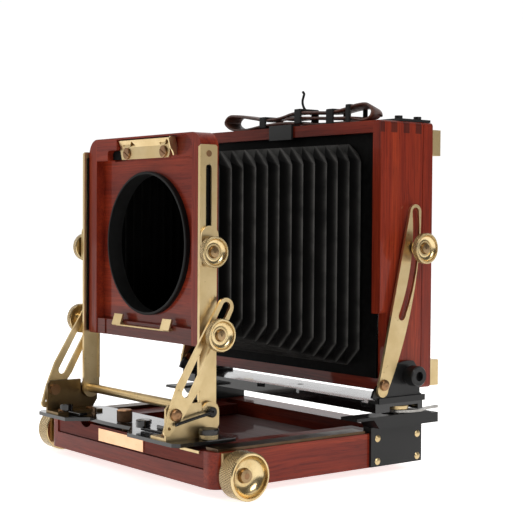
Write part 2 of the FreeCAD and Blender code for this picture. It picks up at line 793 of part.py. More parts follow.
def make_lens_frame():
    """The wooden front standard: a square recess for the lens board over a round hole."""
    frame = plate("y", (lens_y, lens_rear), [
        box_loop((-half_lens, half_lens), (of("lens_bottom"), of("lens_top")))])
    half_board = of("board_width") / 2
    carve(frame, "y", (lens_y - 1, board_floor), [
        box_loop((-half_board, half_board), (of("board_bottom"), of("board_top")))])
    # the rail under it is set back between the stiles, in two steps
    for reach, step in ((half_board, RAIL_STEP / 2), (half_board - 8.5, sized(RAIL_STEP))):
        carve(frame, "y", (lens_y - 1, lens_y + step), [
            box_loop((-reach, reach), (of("lens_bottom") - 1, of("board_bottom") + 1))])
    # the latch's own recess above it: a deeper pocket at its left, a hollow for the thumb at its right
    carve(frame, "y", (lens_y - 1, latch_seat), [[
        (-25.0, of("board_top") - 1.0), (37.2, of("board_top") - 1.0), (37.2, 169.6, 2.0), (47.2, 176.0, 1.6),
        (39.6, 180.2), (-26.4, 180.2), (-26.4, 176.0)]])
    carve(frame, "y", (lens_y - 1, board_floor + 2.0), [[
        (-36.0, of("board_top") - 0.5), (-25.0, of("board_top") - 0.5), (-25.0, 174.4), (-33.8, 174.4, 0.7),
        (-36.0, 172.2)]])
    carve(frame, "y", (lens_y, lens_rear + 1), [(0, of("hole_height"), of("hole_radius"))])
    knob_bore = (tilt_y, of("rise_knob_height"), sized(RISE_STUD + 0.1))
    carve(frame, "x", (half_lens - 7.0, half_lens + 1), [knob_bore])
    carve(frame, "x", (-half_lens - 1, -half_lens + 7.0), [knob_bore])
    side = half_lens.value
    top = SIZES["lens_top"]
    round_edges(frame, of("lens_corner"), lambda middle, way: abs(way.y) > 0.99
                and abs(abs(middle.x) - side) < 0.1 and middle.z > top - 1)
    round_edges(frame, 1.2, lambda middle, way: abs(way.y) > 0.99
                and abs(abs(middle.x) - side) < 0.1 and middle.z < top - 50)
    keep("lens_frame", frame)

    # the turned black ring that lines the hole stands proud of the recess, as a light trap
    proud = board_floor - 3.0
    keep("lens_ring", turned("y", (0, 0, of("hole_height")), [
        (proud, of("ring_radius")), (proud, of("hole_radius") - 0.4), (proud + 0.4, of("hole_radius")),
        (lens_rear, of("hole_radius")), (lens_rear, of("ring_radius"))]))

    # two brass tongues that the board's lower edge stands behind, and the wire between them
    rail = lens_y + RAIL_STEP
    rests = []
    for middle in (-24.5, 24.5):
        rests.append(plate("x", (middle - 4.3, middle + 4.3), [[
            (rail, 75.6), (rail, 77.0), (lens_y + 0.2, 77.2), (lens_y + 1.5, 81.4), (lens_y + 0.5, 81.8),
            (lens_y - 1.4, 76.0), (lens_y - 1.0, 75.4)]]))
    wire = rod("x", (-24.0, 24.0), (lens_y - 0.9, 75.7), 0.5)
    keep("board_rests", group(rests + [wire]))


def make_board_latch():
    """The brass latch over the lens board: a strip in two slots with a folded lip and a thumb wing."""
    face = latch_seat - 0.1
    thick = 1.2
    across, height = LATCH_SCREW
    high = 175.8
    slots = [slot_loop(sized(side * across), (height, height + LATCH_TRAVEL), sized(1.7)) for side in (-1, 1)]
    strip = plate("y", (face - thick, face), [[
        (-24.2, 168.9), (22.6, 168.9, 1.4), (22.6, high), (-25.6, high), (-25.6, 174.0)]] + slots)
    lip = [(face - thick, high - 0.2), (face, high - 0.2), (face, high + 0.3), (face - 1.6, 179.8),
           (face - 2.7, 179.4)]
    add(strip, "x", (-25.2, 29.0), [lip])
    # notched above the screws, and open where a head rides up when the latch is down
    reach = height + LATCH_TRAVEL + 3.5
    for spot in (-12.4, 22.4):
        carve(strip, "y", (face - 8.0, face - 0.3), [[(spot - 3.3, high + 0.2), (spot + 3.3, high + 0.2),
                                                      (spot, 178.8)]])
    carve(strip, "y", (face - 8.0, face - thick - 0.05), [
        box_loop((side * across - 3.5, side * across + 3.5), (high - 1.0, reach)) for side in (-1, 1)])
    add(strip, "x", (28.4, 29.6), [[
        (face - 0.4, 169.8), (face - 0.4, 176.2), (face - 1.6, 179.8), (face - 4.4, 179.8), (face - 5.6, 178.4),
        (face - 4.4, 173.6, -0.4), (face - 2.2, 169.8)]])
    keep("board_latch", strip)
    screws = []
    for middle in (-across, across):
        screw = turned("y", (middle, 0, height), [
            (latch_seat, 0), (latch_seat, 1.65), (face - thick - 0.1, 1.65), (face - thick - 0.1, 3.2),
            (face - 2.1, 3.2), (face - 2.4, 2.8), (face - 2.4, 0)])
        slot = block((-4.0, 4.0), (face - 2.8, face - 1.9), (-0.4, 0.4))
        slant = doc.addObject("Part::Compound", "slant")
        slant.Links = [slot]
        slant.Placement = FreeCAD.Placement(FreeCAD.Vector(middle, 0, height),
                                            FreeCAD.Rotation(FreeCAD.Vector(0, 1, 0), 30))
        screws.append(less(screw, [slant]))
    keep("latch_screws", group(screws))


# --- the rear standard ----------------------------------------------------------------------------------

WHEEL = (84.6, back(125.0))
rear_y = back(of("rear_pivot_back"))
rear_z = of("rear_pivot_height")
rear_foot_y = back(of("rear_strut_back"))
rear_foot_z = of("rear_strut_height")
half_box = of("box_width") / 2


def make_rear_swing():
    """The plate under the rear box, the ears that hold it and what clamps them to the bed."""
    low = of("swing_plate_bottom")
    high = of("swing_plate_top")
    wheel_x, wheel_y = WHEEL
    outline = [
        (-91.0, back(102.4)), (-79.0, back(102.4)), (-77.0, back(107.3)), (-20.0, back(107.3)),
        (-15.0, back(109.5)), (15.0, back(109.5)), (20.0, back(107.3)), (77.0, back(107.3)),
        (79.0, back(102.4)), (91.0, back(102.4)), (91.0, back(138.0)), (-91.0, back(138.0))]
    bar = plate("z", (high - 2.2, high), [outline])
    add(bar, "y", (back(109.6), back(111.0)), [box_loop((-76.5, 76.5), (29.6, high - 2.0))])
    carve(bar, "z", (high - 3.0, high + 1), [(0, wheel_y, sized(2.0))])
    for side in (-1, 1):
        ends = sorted((side * 79.0, side * 91.0))
        for span in ((102.4, 113.0), (134.5, 138.0)):
            add(bar, "z", (low, high - 2.1), [box_loop(ends, (back(span[0]), back(span[1])))])
        carve(bar, "z", (high - 3.0, high + 1), [(side * wheel_x, wheel_y, sized(2.05))])
    keep("rear_swing_plate", bar)

    inner = of("rear_ear_inner")
    outer = inner + of("rear_ear_thick")
    ear = plate("x", (inner, outer), [[
        (back(98.9), 39.6), (back(102.2), 38.2), (back(102.2), high), (back(137.8), high),
        (back(137.8), 38.2), (back(134.6), 40.4), (back(134.2), 52.6), (back(129.6), 58.2, 1.0),
        (back(114.2), 56.2), (back(100.2), 43.0)]])
    add(ear, "x", (85.0, inner + 0.1), [box_loop((back(102.4), back(137.6)), (high, high + 1.6))])
    add(ear, "x", (outer - 0.1, outer + 1.2), [box_loop((back(103.0), back(137.6)), (high, 39.2))])
    pin_bore = 2.0 + of("running_gap")
    carve(ear, "x", (inner - 1, outer + 2.0), [(rear_y, rear_z, pin_bore), (rear_foot_y, rear_foot_z, pin_bore)])
    keep("rear_brackets", both(ear))

    strut_outer = of("rear_strut_inner") + of("strut_thick")
    screw = turned("x", (0, rear_foot_y, rear_foot_z), [
        (inner, 0), (inner, 2.0), (strut_outer + 0.3, 2.0), (strut_outer + 0.3, 3.1),
        (strut_outer + 1.4, 2.8, -0.3), (strut_outer + 1.8, 0)])
    keep("rear_strut_screws", both(screw))
    bolt = turned("x", (0, rear_y, rear_z), [
        (half_box - 6.0, 0), (half_box - 6.0, 2.0), (outer + 0.2, 2.0), (outer + 0.2, 4.4), (outer + 3.0, 4.4),
        (outer + 3.0, 5.6), (outer + 8.4, 5.6), (outer + 9.0, 5.0), (outer + 9.0, 2.6), (outer + 6.0, 2.6),
        (outer + 6.0, 0)])
    keep("box_pivot_bolts", both(bolt))

    thumb = turned("z", (wheel_x, wheel_y, 0), [
        (24.0, 0), (24.0, 2.0), (low, 2.0), (low, 5.6), (low + 0.4, 6.0), (low + 2.2, 6.0),
        (low + 2.6, 5.6), (low + 2.6, 2.0), (high - 0.2, 2.0), (high - 0.2, 0)])
    keep("swing_wheel_right", thumb)
    keep("swing_wheel_left", mirrored(thumb))
    lever_low, lever_high = 29.3, 30.7
    hub = 5.0
    lever = plate("z", (lever_low, lever_high), [[
        (wheel_x + hub, wheel_y, 1.5), (wheel_x + 6.4, wheel_y + 14.0, -1.5), (wheel_x + 2.0, wheel_y + 29.5, 1.0),
        (wheel_x - 0.6, wheel_y + 30.2), (wheel_x + 2.4, wheel_y + 14.0, 1.5), (wheel_x - hub, wheel_y, hub)]])
    carve(lever, "z", (lever_low - 1, lever_high + 1), [(wheel_x, wheel_y, sized(2.05))])
    keep("swing_lever", lever)


def make_rear_box():
    """The wooden box, its back frame and the small fittings on it."""
    low, high = of("box_bottom"), of("box_top")
    wall = of("box_wall")
    front, rear = back(of("box_front")), back(of("box_back"))
    outside = box_loop((-half_box, half_box), (low, high))
    inside = box_loop((-half_box + wall, half_box - wall), (low + wall, high - wall))
    shell = plate("y", (front, rear), [outside, inside])
    # the lower front is cut back for the struts' brackets
    carve(shell, "x", (-half_box - 1, half_box + 1), [box_loop((front - 1, front + 5.3), (low - 1, 84.8))])
    bores = [(rear_y, rear_z, 2.0 + of("running_gap")),
             (back(of("lock_back")), of("lock_height"), 2.0 + of("running_gap"))]
    for side in (-1, 1):
        span = sorted((side * half_box.value - side * wall.value - side, side * half_box.value + side))
        carve(shell, "x", span, bores)
    side_face = half_box.value
    round_edges(shell, 2.0, lambda middle, way: abs(way.y) > 0.99 and abs(abs(middle.x) - side_face) < 0.1)
    keep("rear_box", shell)

    window = box_loop((-of("window_half_width"), of("window_half_width")),
                      (116.2 - of("window_half_height"), 116.2 + of("window_half_height")))
    frame = plate("y", (rear + 0.4, back(of("frame_back"))), [outside, window])
    round_edges(frame, 2.0, lambda middle, way: abs(way.y) > 0.99 and abs(abs(middle.x) - side_face) < 0.1)
    keep("back_frame", frame)

    # top catch for the folded bed, at the middle of the box's front edge
    keep("bed_catch", fused([
        block((-6.0, 15.0), (front - 1.5, front + 5.0), (high + 0.1, high + 1.2)),
        block((-6.0, 15.0), (front - 1.5, front - 0.1), (high - 7.6, high + 1.2))]))
    clips = []
    for z in (43.0, 172.0):
        clips.append(block((81.0, 89.6), (back(of("frame_back")), back(of("frame_back") + 6.6)), (z, z + 14.4)))
    keep("back_clips", both(group(clips)))
    keep("back_release", fused([
        block((70.0, 88.5), (rear - 17.0, back(of("frame_back")) - 0.4), (high + 0.1, high + 1.6)),
        rod("z", (high + 1.5, high + 3.4), (84.0, rear - 13.0), 2.2),
        rod("z", (high + 1.5, high + 3.4), (84.0, rear + 1.5), 2.2)]))
    strap = block((-70.0, 68.0), (back(113.5), back(134.5)), (high + 0.2, high + 13.0))
    keep("carry_strap", strap)


def make_rear_struts():
    """Slotted curved struts: from the rear brackets up to the lock knobs on the box's sides."""
    outline = [(back(108.8), 43.4, 5.8), (back(132.6), 140.4, 4.2), (back(124.2), 140.4), (back(101.3), 43.4, 3.6)]
    # the slot runs along a circle, between two heights on it
    circle_y, circle_z, circle_radius = back(18.6).value, 129.8, 110.2
    half = 2.45
    angles = [asin((z - circle_z) / circle_radius) for z in (83.4, 140.4)]

    def on_circle(angle, radius):
        return (circle_y + radius * cos(angle), circle_z + radius * sin(angle))

    def bulge(radius):
        return radius * (1 - cos((angles[1] - angles[0]) / 2))

    small, large = circle_radius - half, circle_radius + half
    slot = [
        on_circle(angles[0], small) + (half,), on_circle(angles[0], large) + (bulge(large),),
        on_circle(angles[1], large) + (half,), on_circle(angles[1], small) + (-bulge(small),)]
    span = (of("rear_strut_inner"), of("rear_strut_inner") + of("strut_thick"))
    strut = plate("x", span, [outline])
    through = (span[0] - 1, span[1] + 1)
    carve(strut, "x", through, [slot])
    carve(strut, "x", through, [(rear_foot_y, rear_foot_z, 2.0 + of("running_gap"))])
    keep("rear_struts", both(strut))
    knob = small_knob(95.2, 103.4, (back(of("lock_back")), of("lock_height")), 84.0, 2.0, 8.4, 4.2)
    keep("rear_knob_right", knob)
    keep("rear_knob_left", mirrored(knob))


def make_screen():
    """The sprung focusing back: a wooden frame with the ground glass in it, and two flat springs."""
    front = back(of("frame_back")) + 0.3
    rear = front + of("screen_depth")
    half_width, half_height = 79.0, 56.0
    middle = 116.2
    frame = plate("y", (front, rear), [
        box_loop((-half_width, half_width), (middle - half_height, middle + half_height)),
        box_loop((-60.0, 60.0), (middle - 48.0, middle + 48.0))])
    carve(frame, "y", (front - 1, front + 2.2), [
        box_loop((-63.4, 63.4), (middle - 50.9, middle + 50.9))])
    round_edges(frame, 4.0, lambda spot, way: abs(way.y) > 0.99 and abs(abs(spot.x) - half_width) < 0.1)
    keep("screen_frame", frame)
    keep("ground_glass", block((-63.2, 63.2), (front, front + 2.0), (middle - 50.7, middle + 50.7)))
    springs = [block((side * 84.0 - 3.0, side * 84.0 + 3.0), (front, front + 0.8), (middle - 34.0, middle + 34.0))
               for side in (-1, 1)]
    arms = [block(sorted((side * 73.0, side * 84.0)), (rear, rear + 0.8), (middle - 4.0, middle + 4.0))
            for side in (-1, 1)]
    posts = [block(sorted((side * 81.0, side * 84.0)), (front, rear + 0.8), (middle - 4.0, middle + 4.0))
             for side in (-1, 1)]
    keep("back_springs", group([fused(list(parts)) for parts in zip(springs, arms, posts)]))


# --- the bellows ----------------------------------------------------------------------------------------

# folds in each length of the bellows, from the rear box to the lens frame
BELLOWS_LENGTHS = (2, 2, 2, 1, 2, 3, 1)
BELLOWS_FRONT = (50.0, 78.0, 171.0)
BELLOWS_BACK = (73.0, 54.0, 178.0)
BELLOWS_CORNER = 7.0


def bellows_wire(y, inset):
    """The eight-cornered outline across the bellows at a place along it."""
    start = back(of("bellows_front")).value
    stop = back(of("bellows_back")).value
    share = (y - start) / (stop - start)
    half, low, high = [a + (b - a) * share for a, b in zip(BELLOWS_FRONT, BELLOWS_BACK)]
    half -= inset
    low += inset
    high -= inset
    cut = BELLOWS_CORNER - 0.4 * inset
    ring = [
        (-half, low + cut), (-half + cut, low), (half - cut, low), (half, low + cut),
        (half, high - cut), (half - cut, high), (-half + cut, high), (-half, high - cut)]
    return Part.makePolygon([FreeCAD.Vector(x, y, z) for x, z in ring + ring[:1]])


def make_bellows():
    """Plain tapered tubes, one for each length that moves on its own."""
    start = back(of("bellows_front")).value
    stop = back(of("bellows_back")).value
    fold = (stop - start) / sum(BELLOWS_LENGTHS)
    wall = SIZES["bellows_wall"]
    y = stop
    for number, folds in enumerate(BELLOWS_LENGTHS, start=1):
        following = y - folds * fold
        ends = (y - 0.05, following + 0.05)
        outer = Part.makeLoft([bellows_wire(end, 0.0) for end in ends], True)
        hollow = Part.makeLoft([bellows_wire(end, wall) for end in (y + 1.0, following - 1.0)], True)
        keep("bellows_%d" % number, built(outer.cut(hollow)))
        y = following


# --- build, check and write -----------------------------------------------------------------------------

for make in (make_bed, make_rear_bases, make_focus_drive, make_slide, make_front_plate, make_front_brackets,
             make_front_struts, make_uprights, make_front_knobs, make_lens_frame, make_board_latch,
             make_rear_swing, make_rear_box, make_rear_struts, make_screen, make_bellows):
    make()
doc.recompute()

for thing in doc.Objects:
    if "Invalid" in thing.State or "Error" in thing.State:
        raise RuntimeError("%s failed: %s" % (thing.Label, thing.State))
for label, thing in kept.items():
    if thing.Shape.isNull() or not thing.Shape.isValid():
        raise RuntimeError("%s has no valid shape" % label)

os.makedirs("parts", exist_ok=True)
for label, thing in kept.items():
    thing.Shape.exportStep("parts/%s.step" % label)
    print(label, len(thing.Shape.Solids), round(thing.Shape.Volume, 1))
print(len(kept), "sub-parts")
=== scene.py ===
"""The looks of the folding view camera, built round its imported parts."""
from math import cos, pi, radians, sin

import bmesh
import bpy
from mathutils import Matrix, Vector


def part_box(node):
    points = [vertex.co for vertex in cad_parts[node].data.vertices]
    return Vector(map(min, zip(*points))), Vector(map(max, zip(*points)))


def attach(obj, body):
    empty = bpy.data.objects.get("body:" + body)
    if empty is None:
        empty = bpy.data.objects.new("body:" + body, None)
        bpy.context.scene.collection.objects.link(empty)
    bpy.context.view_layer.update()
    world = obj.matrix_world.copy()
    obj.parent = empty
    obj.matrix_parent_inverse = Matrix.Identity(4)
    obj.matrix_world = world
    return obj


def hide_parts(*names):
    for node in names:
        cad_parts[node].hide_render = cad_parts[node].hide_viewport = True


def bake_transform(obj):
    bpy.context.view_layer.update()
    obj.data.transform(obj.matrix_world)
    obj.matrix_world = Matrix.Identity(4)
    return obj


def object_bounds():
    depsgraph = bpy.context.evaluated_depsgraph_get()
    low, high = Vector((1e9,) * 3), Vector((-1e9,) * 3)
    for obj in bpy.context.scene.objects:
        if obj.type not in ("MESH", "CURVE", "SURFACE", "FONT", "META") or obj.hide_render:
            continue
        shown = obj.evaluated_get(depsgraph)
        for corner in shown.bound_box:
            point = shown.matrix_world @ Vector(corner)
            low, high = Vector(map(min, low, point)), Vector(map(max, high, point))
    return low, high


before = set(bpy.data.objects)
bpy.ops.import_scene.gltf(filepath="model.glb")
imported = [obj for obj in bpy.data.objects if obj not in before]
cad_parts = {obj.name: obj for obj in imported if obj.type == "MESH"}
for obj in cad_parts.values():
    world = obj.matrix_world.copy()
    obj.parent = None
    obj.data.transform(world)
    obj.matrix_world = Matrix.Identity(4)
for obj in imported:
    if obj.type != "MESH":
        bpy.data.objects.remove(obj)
cad_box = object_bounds()

MM = 0.001
bed_low, bed_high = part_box("bed_frame")
bed_front = bed_low.y


def back(distance):
    """Y of a place that many millimetres behind the bed's front face."""
    return bed_front + distance * MM


# --- materials ------------------------------------------------------------------------------------------

class Shader:
    """A material's node tree, with short ways to add and join its nodes."""

    def __init__(self, name):
        self.material = bpy.data.materials.new(name)
        self.material.use_nodes = True
        self.tree = self.material.node_tree
        self.surface = self.tree.nodes["Principled BSDF"]
        self.place = self.add("ShaderNodeTexCoord").outputs["Object"]

    def add(self, kind, **values):
        node = self.tree.nodes.new(kind)
        for name, value in values.items():
            setattr(node, name, value)
        return node

    def join(self, source, socket):
        if isinstance(source, bpy.types.NodeSocket):
            self.tree.links.new(source, socket)
        else:
            socket.default_value = source

    def math(self, operation, *values):
        node = self.add("ShaderNodeMath", operation=operation)
        for value, socket in zip(values, node.inputs):
            self.join(value, socket)
        return node.outputs[0]

    def axes(self):
        split = self.add("ShaderNodeSeparateXYZ")
        self.join(self.place, split.inputs[0])
        return split.outputs

    def vector(self, x, y, z):
        node = self.add("ShaderNodeCombineXYZ")
        for value, socket in zip((x, y, z), node.inputs):
            self.join(value, socket)
        return node.outputs[0]

    def stretched(self, vector, scales):
        node = self.add("ShaderNodeVectorMath", operation="MULTIPLY")
        self.join(vector, node.inputs[0])
        node.inputs[1].default_value = scales
        return node.outputs[0]

    def noise(self, vector, scale=1.0, detail=4.0, rough=0.55):
        node = self.add("ShaderNodeTexNoise")
        self.join(vector, node.inputs["Vector"])
        node.inputs["Scale"].default_value = scale
        node.inputs["Detail"].default_value = detail
        node.inputs["Roughness"].default_value = rough
        return node.outputs[0]

    def ramp(self, factor, *stops):
        """A colour or grey ramp: stops of (position, value)."""
        node = self.add("ShaderNodeValToRGB")
        self.join(factor, node.inputs[0])
        band = node.color_ramp
        while len(band.elements) < len(stops):
            band.elements.new(0.5)
        for element, (position, value) in zip(band.elements, stops):
            element.position = position
            element.color = tuple(value) + (1.0,) if isinstance(value, tuple) else (value, value, value, 1.0)
        return node.outputs[0]

    def mix(self, factor, a, b, blend_type="MIX"):
        node = self.add("ShaderNodeMix", data_type="RGBA", blend_type=blend_type)
        self.join(factor, node.inputs[0])
        for value, socket in ((a, node.inputs[6]), (b, node.inputs[7])):
            self.join(tuple(value) + (1.0,) if isinstance(value, tuple) else value, socket)
        return node.outputs[2]

    def mix_vector(self, factor, a, b):
        node = self.add("ShaderNodeMix", data_type="VECTOR")
        self.join(factor, node.inputs[0])
        self.join(a, node.inputs[4])
        self.join(b, node.inputs[5])
        return node.outputs[1]

    def bump(self, height, distance, strength=1.0, under=None):
        node = self.add("ShaderNodeBump")
        node.inputs["Strength"].default_value = strength
        node.inputs["Distance"].default_value = distance
        self.join(height, node.inputs["Height"])
        if under is not None:
            self.join(under, node.inputs["Normal"])
        return node.outputs[0]

    def set(self, **values):
        for name, value in values.items():
            is_colour = isinstance(value, tuple) and len(value) == 3
            self.join(value + (1.0,) if is_colour else value, self.surface.inputs[name.replace("_", " ")])
        return self.material


def wood(name, edge=1.0, run="z", shade=1.0, joint=None, dark_below=None, coat=0.45):
    """Red-brown lacquered hardwood. The grain runs along X, and along `run` where |X| is beyond `edge`.

    joint = (|X|, Z, pitch): beyond both, the corner shows finger joints of that pitch along Y.
    dark_below = (|X|, Y, Z): within that |X|, behind that Y and below that height the wood is darker."""
    s = Shader(name)
    x, y, z = s.axes()
    beyond = s.math("GREATER_THAN", s.math("ABSOLUTE", x), edge)
    along = z if run == "z" else y
    across = y if run == "z" else z
    grain = s.mix_vector(beyond, s.vector(x, y, z), s.vector(along, across, x))
    wander = s.noise(s.stretched(grain, (9.0, 30.0, 30.0)), detail=2.0)
    bent = s.add("ShaderNodeVectorMath", operation="MULTIPLY_ADD")
    s.join(wander, bent.inputs[0])
    bent.inputs[1].default_value = (0.0, 0.006, 0.006)
    s.join(grain, bent.inputs[2])
    grain = bent.outputs[0]
    bands = s.noise(s.stretched(grain, (5.0, 120.0, 120.0)), detail=3.0)
    streaks = s.noise(s.stretched(grain, (26.0, 900.0, 900.0)), detail=5.0, rough=0.65)
    pores = s.noise(s.stretched(grain, (90.0, 2600.0, 2600.0)), detail=2.0)
    tone = s.ramp(bands, (0.25, (0.135 * shade, 0.010 * shade, 0.0035 * shade)),
                  (0.5, (0.215 * shade, 0.021 * shade, 0.006 * shade)),
                  (0.78, (0.30 * shade, 0.036 * shade, 0.009 * shade)))
    tone = s.mix(s.ramp(streaks, (0.38, 0.55), (0.62, 0.0)), tone, (0.07, 0.006, 0.003))
    tone = s.mix(s.ramp(pores, (0.30, 0.6), (0.40, 0.0)), tone, (0.035, 0.004, 0.002))
    if joint:
        side, height, step = joint
        corner = s.math("MULTIPLY", s.math("GREATER_THAN", s.math("ABSOLUTE", x), side),
                        s.math("GREATER_THAN", z, height))
        finger = s.math("GREATER_THAN", s.math("FRACT", s.math("DIVIDE", y, step)), 0.5)
        fingers = s.math("MULTIPLY", s.math("MULTIPLY", corner, finger), 0.75)
        tone = s.mix(fingers, tone, (0.035, 0.006, 0.004))
    # darker wood within the bounds; in the slide's hollow this is a painted shade
    if dark_below:
        low = s.math("MULTIPLY", s.math("LESS_THAN", s.math("ABSOLUTE", x), dark_below[0]),
                     s.math("LESS_THAN", z, dark_below[2]))
        low = s.math("MULTIPLY", low, s.math("GREATER_THAN", y, dark_below[1]))
        tone = s.mix(s.math("MULTIPLY", low, 0.6), tone, (0.03, 0.008, 0.006))
    s.join(tone, s.surface.inputs["Base Color"])
    s.join(s.ramp(streaks, (0.2, 0.62), (0.8, 0.46)), s.surface.inputs["Roughness"])
    s.join(s.bump(streaks, 0.00005, 0.3), s.surface.inputs["Normal"])
    return s.set(Coat_Weight=coat, Coat_Roughness=0.05, Coat_IOR=1.4, Specular_IOR_Level=0.12)


def brass(name, colour=(0.66, 0.515, 0.285), rough=0.36, brushed="z", dull=0.5, left=1.0):
    """Satin brass with brushing along an axis; `left` darkens what lies at negative X as a painted shade."""
    s = Shader(name)
    x, y, z = s.axes()
    stretch = {"x": (60.0, 2600.0, 2600.0), "y": (2600.0, 60.0, 2600.0), "z": (2600.0, 2600.0, 60.0)}[brushed]
    lines = s.noise(s.stretched(s.place, stretch), detail=3.0)
    cloud = s.noise(s.place, scale=70.0, detail=5.0, rough=0.6)
    spots = s.noise(s.place, scale=420.0, detail=3.0)
    tarnish = tuple(c * k for c, k in zip(colour, (0.80, 0.74, 0.62)))
    tone = s.mix(s.ramp(cloud, (0.38, dull), (0.66, 0.0)), colour, tarnish)
    tone = s.mix(s.ramp(spots, (0.24, 0.75), (0.33, 0.0)), tone, (0.30, 0.19, 0.08))
    # painted shade: the brass at negative X is darkened
    if left < 1.0:
        tone = s.mix(s.math("LESS_THAN", x, 0.0), tone, (left, 0.9 * left, 0.8 * left), "MULTIPLY")
    s.join(tone, s.surface.inputs["Base Color"])
    s.join(s.ramp(cloud, (0.3, rough + 0.08), (0.7, rough - 0.04)), s.surface.inputs["Roughness"])
    s.join(s.bump(lines, 0.00002, 0.35), s.surface.inputs["Normal"])
    return s.set(Metallic=1.0)


def turned_brass(name, axis, boss, knurl, colour=(0.66, 0.52, 0.29), rough=0.24):
    """Lathe-turned brass about an axis along X through (Y, Z), darker within the boss's radius.

    knurl = (count, pitch, radius) of the knurling on the rim."""
    s = Shader(name)
    x, y, z = s.axes()
    y = s.math("SUBTRACT", y, axis[0])
    z = s.math("SUBTRACT", z, axis[1])
    radius = s.math("SQRT", s.math("ADD", s.math("MULTIPLY", y, y), s.math("MULTIPLY", z, z)))
    fine = 2400.0
    rings = s.noise(s.vector(s.math("MULTIPLY", x, fine), s.math("MULTIPLY", radius, fine), 0.0), detail=2.0)
    cloud = s.noise(s.place, scale=110.0, detail=4.0)
    tarnish = tuple(c * k for c, k in zip(colour, (0.78, 0.70, 0.55)))
    tone = s.mix(s.ramp(cloud, (0.36, 0.6), (0.64, 0.0)), colour, tarnish)
    tone = s.mix(s.math("MULTIPLY", s.math("LESS_THAN", radius, boss), 0.8), tone, (0.24, 0.145, 0.075))
    count, pitch, low = knurl
    turn = s.math("MULTIPLY", s.math("ARCTAN2", y, z), float(count))
    lean = s.math("MULTIPLY", x, 2 * pi / pitch)
    one = s.math("SINE", s.math("ADD", turn, lean))
    two = s.math("SINE", s.math("SUBTRACT", turn, lean))
    side = s.math("GREATER_THAN", radius, low)
    height = s.math("MULTIPLY", s.math("MINIMUM", one, two), side)
    normal = s.bump(height, 0.00028, 1.0, s.bump(rings, 0.00003, 0.4))
    tone = s.mix(s.math("MULTIPLY", s.ramp(height, (0.0, 0.55), (0.5, 0.0)), side), tone, (0.22, 0.14, 0.06))
    s.join(tone, s.surface.inputs["Base Color"])
    s.join(normal, s.surface.inputs["Normal"])
    s.join(s.ramp(cloud, (0.3, rough + 0.06), (0.7, rough - 0.03)), s.surface.inputs["Roughness"])
    return s.set(Metallic=1.0)


def enamel(name, colour=(0.006, 0.006, 0.0064), rough=0.2, gloss=0.4, coat=0.8):
    """Black baked paint on metal, a little uneven."""
    s = Shader(name)
    peel = s.noise(s.place, scale=420.0, detail=2.0)
    cloud = s.noise(s.place, scale=45.0, detail=5.0)
    s.join(s.mix(s.ramp(cloud, (0.4, 0.0), (0.75, 0.5)), colour, tuple(2.2 * c for c in colour)),
           s.surface.inputs["Base Color"])
    s.join(s.ramp(cloud, (0.3, rough - 0.04), (0.75, rough + 0.08)), s.surface.inputs["Roughness"])
    s.join(s.bump(peel, 0.00001, 0.15), s.surface.inputs["Normal"])
    return s.set(Specular_IOR_Level=gloss, Coat_Weight=coat, Coat_Roughness=0.06, Coat_IOR=1.55)


def two_part(name, split, below, above, axis):
    """Turned metal in two colours, parted at a height. Each is (colour, roughness, metallic).

    The lower one is ribbed round the upright axis through axis = (X, Y)."""
    s = Shader(name)
    x, y, z = s.axes()
    top = s.math("GREATER_THAN", z, split)
    cloud = s.noise(s.place, scale=500.0, detail=3.0)
    tone = s.mix(top, below[0], above[0])
    tone = s.mix(s.ramp(cloud, (0.35, 0.45), (0.6, 0.0)), tone, (0.03, 0.02, 0.012))
    s.join(tone, s.surface.inputs["Base Color"])
    s.join(s.ramp(top, (0.0, below[1]), (1.0, above[1])), s.surface.inputs["Roughness"])
    s.join(s.ramp(top, (0.0, below[2]), (1.0, above[2])), s.surface.inputs["Metallic"])
    turn = s.math("ARCTAN2", s.math("SUBTRACT", y, axis[1]), s.math("SUBTRACT", x, axis[0]))
    ribs = s.math("SINE", s.math("MULTIPLY", turn, 44.0))
    ribs = s.math("MULTIPLY", ribs, s.math("SUBTRACT", 1.0, top))
    s.join(s.bump(ribs, 0.0002, 1.0), s.surface.inputs["Normal"])
    return s.material


def steel(name):
    s = Shader(name)
    lines = s.noise(s.stretched(s.place, (2400.0, 80.0, 2400.0)), detail=3.0)
    tone = s.ramp(lines, (0.3, (0.24, 0.23, 0.22)), (0.7, (0.40, 0.39, 0.37)))
    s.join(tone, s.surface.inputs["Base Color"])
    s.join(s.ramp(lines, (0.3, 0.36), (0.7, 0.24)), s.surface.inputs["Roughness"])
    return s.set(Metallic=1.0)


def leather(name):
    s = Shader(name)
    cells = s.add("ShaderNodeTexVoronoi")
    s.join(s.place, cells.inputs["Vector"])
    cells.inputs["Scale"].default_value = 1500.0
    creases = s.noise(s.place, scale=260.0, detail=6.0, rough=0.7)
    cloud = s.noise(s.place, scale=75.0, detail=3.0)
    tone = s.ramp(cloud, (0.35, (0.055, 0.022, 0.014)), (0.55, (0.095, 0.033, 0.020)),
                  (0.75, (0.17, 0.058, 0.033)))
    tone = s.mix(s.ramp(creases, (0.35, 0.5), (0.5, 0.0)), tone, (0.02, 0.011, 0.008))
    s.join(tone, s.surface.inputs["Base Color"])
    s.join(s.ramp(creases, (0.3, 0.55), (0.7, 0.36)), s.surface.inputs["Roughness"])
    grained = s.bump(cells.outputs["Distance"], 0.00012, 0.5)
    s.join(s.bump(creases, 0.0003, 0.5, grained), s.surface.inputs["Normal"])
    return s.set(Specular_IOR_Level=0.5)


